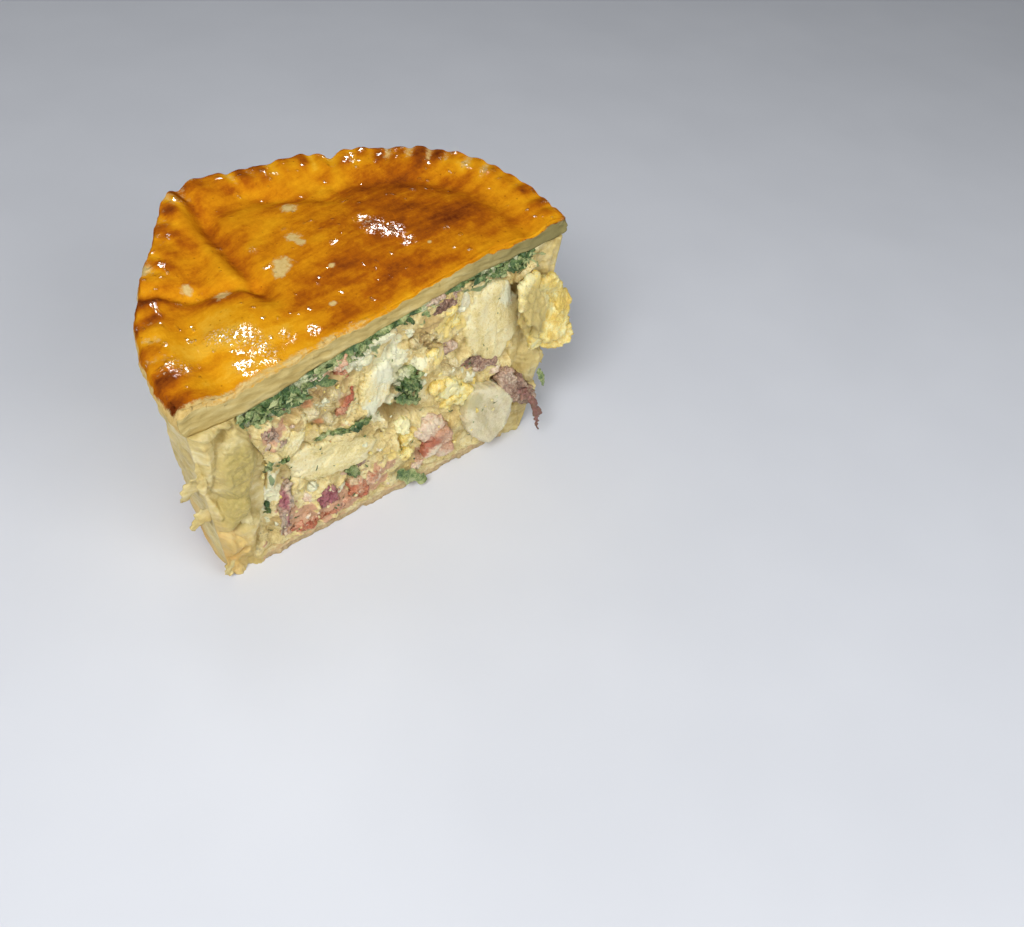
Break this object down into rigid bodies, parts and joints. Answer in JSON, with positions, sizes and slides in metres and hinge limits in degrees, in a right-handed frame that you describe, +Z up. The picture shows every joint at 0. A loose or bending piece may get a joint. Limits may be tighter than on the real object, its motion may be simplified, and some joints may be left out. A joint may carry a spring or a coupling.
{
  "type": "half bacon and egg pie",
  "caption": "Half of a round raised savoury pie, cut straight down, with a glazed crimped lid and a cut face of egg, bacon, onion and greens.",
  "frame": {"origin": "centre of the bounding box seen from above, on the flat base", "axes": "+X along the straight cut, from the low end of the lid to its high end; -Y out of the cut face; +Z up"},
  "size_m": [0.1248, 0.0788, 0.0825],
  "materials": {
    "golden_crust": "glazed, browned pastry",
    "pale_pastry": "pale baked pastry",
    "cooked_greens": "moist cooked leaves",
    "custard": "set egg with herbs",
    "egg": "cooked egg",
    "yolk": "crumbly cooked yolk",
    "onion": "soft translucent onion or potato",
    "browned_onion": "browned onion",
    "ham": "moist pink meat",
    "bacon": "moist dark red bacon"
  },
  "bodies": {
    "root": {"pastry_case": "pale_pastry", "pastry_lid": "golden_crust", "greens_layer": "cooked_greens", "egg_filling": "custard", "egg_yolk_crumb": "yolk", "potato_round": "onion", "ham_piece": "ham", "bacon_stringy": "bacon", "egg_wedge": "egg", "bacon_dark_strip": "bacon", "egg_crumbly": "egg", "onion_small": "browned_onion", "egg_slab": "egg", "onion_browned": "browned_onion", "egg_side_strip": "egg", "egg_white_piece": "egg", "egg_yolk_small": "yolk", "leaf_clump": "cooked_greens", "onion_tan": "browned_onion", "curd_with_greens": "custard", "onion_grey": "onion", "bacon_brown_bit": "bacon", "bacon_upright": "bacon", "bacon_purple": "bacon", "bacon_red": "bacon", "bacon_along_base": "ham", "base_leaf": "cooked_greens", "leaf_strip": "cooked_greens"}
  },
  "joints": []
}
